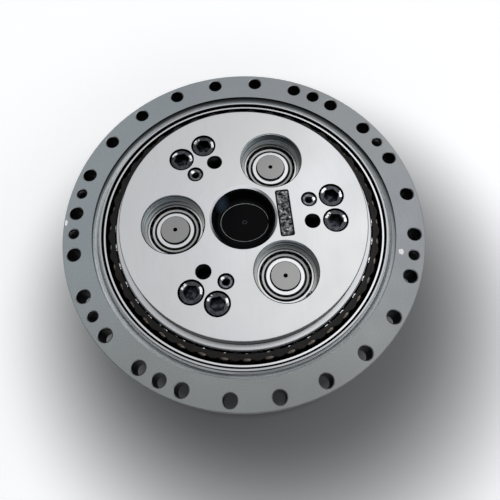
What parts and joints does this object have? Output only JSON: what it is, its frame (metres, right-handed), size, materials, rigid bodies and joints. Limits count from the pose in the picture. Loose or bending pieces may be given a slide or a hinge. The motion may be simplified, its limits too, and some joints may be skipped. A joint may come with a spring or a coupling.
{
  "type": "cycloidal reducer",
  "caption": "Two-stage cycloidal reducer with a flanged pin-ring case and a turning carrier on angular contact ball bearings, seen from the hold flange.",
  "frame": {"origin": "on the main axis in the mounting face under the case flange", "axes": "+Z along the main axis out of the hold flange, the side that the input gear enters; +X through the middle of the flange hole group with no tapped hole"},
  "size_m": [0.3699, 0.37, 0.14],
  "materials": {
    "case_steel": "fine ground",
    "pin_steel": "ground and polished",
    "outer_race_steel": "ground",
    "inner_race_steel": "ground",
    "seal_rubber": "moulded",
    "plate_steel": "fine turned",
    "shaft_steel": "fine turned",
    "bolt_oxide": "black oxide",
    "taper_pin_steel": "ground",
    "snap_steel": "stamped",
    "cup_steel": "ground",
    "cap_plastic": "glossy moulded",
    "plug_steel": "pressed",
    "ball_steel": "polished",
    "ball_cage_resin": "moulded",
    "disc_steel": "ground",
    "crank_steel": "ground",
    "gear_steel": "hobbed",
    "cone_steel": "ground",
    "roller_steel": "polished",
    "taper_cage_steel": "pressed",
    "needle_steel": "polished",
    "needle_cage_steel": "machined"
  },
  "bodies": {
    "case": {"case": "case_steel", "ring_pins": "pin_steel", "outer_ring_upper": "outer_race_steel", "outer_ring_lower": "outer_race_steel", "oil_seal": "seal_rubber"},
    "carrier": {"hold_flange": "plate_steel", "output_shaft": "shaft_steel", "clamp_bolts": "bolt_oxide", "taper_pins": "taper_pin_steel", "snap_rings": "snap_steel", "crank_cups_upper": "cup_steel", "crank_cups_lower": "cup_steel", "inner_ring_upper": "inner_race_steel", "inner_ring_lower": "inner_race_steel", "bore_cap": "cap_plastic", "shaft_plug": "plug_steel"},
    "crank_1": {"crankshaft_1": "crank_steel", "spur_gear_1": "gear_steel", "crank_cone_upper_1": "cone_steel", "crank_cone_lower_1": "cone_steel"},
    "crank_2": {"crankshaft_2": "crank_steel", "spur_gear_2": "gear_steel", "crank_cone_upper_2": "cone_steel", "crank_cone_lower_2": "cone_steel"},
    "crank_3": {"crankshaft_3": "crank_steel", "spur_gear_3": "gear_steel", "crank_cone_upper_3": "cone_steel", "crank_cone_lower_3": "cone_steel"},
    "upper_disc": {"disc_upper": "disc_steel"},
    "lower_disc": {"disc_lower": "disc_steel"},
    "taper_set_1": {"taper_rollers_1": "roller_steel", "taper_cages_1": "taper_cage_steel"},
    "taper_set_2": {"taper_rollers_2": "roller_steel", "taper_cages_2": "taper_cage_steel"},
    "taper_set_3": {"taper_rollers_3": "roller_steel", "taper_cages_3": "taper_cage_steel"},
    "needle_set_upper_1": {"needle_rollers_upper_1": "needle_steel", "needle_cage_upper_1": "needle_cage_steel"},
    "needle_set_lower_1": {"needle_rollers_lower_1": "needle_steel", "needle_cage_lower_1": "needle_cage_steel"},
    "needle_set_upper_2": {"needle_rollers_upper_2": "needle_steel", "needle_cage_upper_2": "needle_cage_steel"},
    "needle_set_lower_2": {"needle_rollers_lower_2": "needle_steel", "needle_cage_lower_2": "needle_cage_steel"},
    "needle_set_upper_3": {"needle_rollers_upper_3": "needle_steel", "needle_cage_upper_3": "needle_cage_steel"},
    "needle_set_lower_3": {"needle_rollers_lower_3": "needle_steel", "needle_cage_lower_3": "needle_cage_steel"},
    "ball_set_upper": {"balls_upper": "ball_steel", "ball_cage_upper": "ball_cage_resin"},
    "ball_set_lower": {"balls_lower": "ball_steel", "ball_cage_lower": "ball_cage_resin"}
  },
  "joints": [
    {"name": "carrier_turn", "type": "hinge", "parent": "case", "child": "carrier", "pos_m": [0, 0, 0], "axis": [0, 0, 1], "continuous": true},
    {"name": "crank_1_turn", "type": "hinge", "parent": "carrier", "child": "crank_1", "pos_m": [0.03216, 0.06218, 0], "axis": [0, 0, 1], "continuous": true},
    {"name": "crank_2_turn", "type": "hinge", "parent": "carrier", "child": "crank_2", "pos_m": [-0.06993, -0.00324, 0], "axis": [0, 0, 1], "continuous": true},
    {"name": "crank_3_turn", "type": "hinge", "parent": "carrier", "child": "crank_3", "pos_m": [0.03776, -0.05894, 0], "axis": [0, 0, 1], "continuous": true},
    {"name": "upper_disc_wobble", "type": "hinge", "parent": "crank_1", "child": "upper_disc", "pos_m": [0.03436, 0.06218, 0], "axis": [0, 0, 1], "continuous": true},
    {"name": "lower_disc_wobble", "type": "hinge", "parent": "crank_1", "child": "lower_disc", "pos_m": [0.02996, 0.06218, 0], "axis": [0, 0, 1], "continuous": true},
    {"name": "taper_set_1_turn", "type": "hinge", "parent": "carrier", "child": "taper_set_1", "pos_m": [0.03216, 0.06218, 0], "axis": [0, 0, 1], "continuous": true},
    {"name": "taper_set_2_turn", "type": "hinge", "parent": "carrier", "child": "taper_set_2", "pos_m": [-0.06993, -0.00324, 0], "axis": [0, 0, 1], "continuous": true},
    {"name": "taper_set_3_turn", "type": "hinge", "parent": "carrier", "child": "taper_set_3", "pos_m": [0.03776, -0.05894, 0], "axis": [0, 0, 1], "continuous": true},
    {"name": "needle_set_upper_1_turn", "type": "hinge", "parent": "crank_1", "child": "needle_set_upper_1", "pos_m": [0.03436, 0.06218, 0], "axis": [0, 0, 1], "continuous": true},
    {"name": "needle_set_lower_1_turn", "type": "hinge", "parent": "crank_1", "child": "needle_set_lower_1", "pos_m": [0.02996, 0.06218, 0], "axis": [0, 0, 1], "continuous": true},
    {"name": "needle_set_upper_2_turn", "type": "hinge", "parent": "crank_2", "child": "needle_set_upper_2", "pos_m": [-0.06772, -0.00324, 0], "axis": [0, 0, 1], "continuous": true},
    {"name": "needle_set_lower_2_turn", "type": "hinge", "parent": "crank_2", "child": "needle_set_lower_2", "pos_m": [-0.07212, -0.00324, 0], "axis": [0, 0, 1], "continuous": true},
    {"name": "needle_set_upper_3_turn", "type": "hinge", "parent": "crank_3", "child": "needle_set_upper_3", "pos_m": [0.03997, -0.05894, 0], "axis": [0, 0, 1], "continuous": true},
    {"name": "needle_set_lower_3_turn", "type": "hinge", "parent": "crank_3", "child": "needle_set_lower_3", "pos_m": [0.03556, -0.05894, 0], "axis": [0, 0, 1], "continuous": true},
    {"name": "ball_set_upper_turn", "type": "hinge", "parent": "case", "child": "ball_set_upper", "pos_m": [0, 0, 0], "axis": [0, 0, 1], "continuous": true},
    {"name": "ball_set_lower_turn", "type": "hinge", "parent": "case", "child": "ball_set_lower", "pos_m": [0, 0, 0], "axis": [0, 0, 1], "continuous": true}
  ],
  "couplings": [
    {"joint": "crank_1_turn", "follows": "carrier_turn", "ratio": -40},
    {"joint": "crank_2_turn", "follows": "carrier_turn", "ratio": -40},
    {"joint": "crank_3_turn", "follows": "carrier_turn", "ratio": -40},
    {"joint": "upper_disc_wobble", "follows": "carrier_turn", "ratio": 40},
    {"joint": "lower_disc_wobble", "follows": "carrier_turn", "ratio": 40},
    {"joint": "taper_set_1_turn", "follows": "carrier_turn", "ratio": -17.408},
    {"joint": "taper_set_2_turn", "follows": "carrier_turn", "ratio": -17.408},
    {"joint": "taper_set_3_turn", "follows": "carrier_turn", "ratio": -17.408},
    {"joint": "needle_set_upper_1_turn", "follows": "carrier_turn", "ratio": 22.546},
    {"joint": "needle_set_lower_1_turn", "follows": "carrier_turn", "ratio": 22.546},
    {"joint": "needle_set_upper_2_turn", "follows": "carrier_turn", "ratio": 22.546},
    {"joint": "needle_set_lower_2_turn", "follows": "carrier_turn", "ratio": 22.546},
    {"joint": "needle_set_upper_3_turn", "follows": "carrier_turn", "ratio": 22.546},
    {"joint": "needle_set_lower_3_turn", "follows": "carrier_turn", "ratio": 22.546},
    {"joint": "ball_set_upper_turn", "follows": "carrier_turn", "ratio": 0.4816},
    {"joint": "ball_set_lower_turn", "follows": "carrier_turn", "ratio": 0.4816}
  ]
}
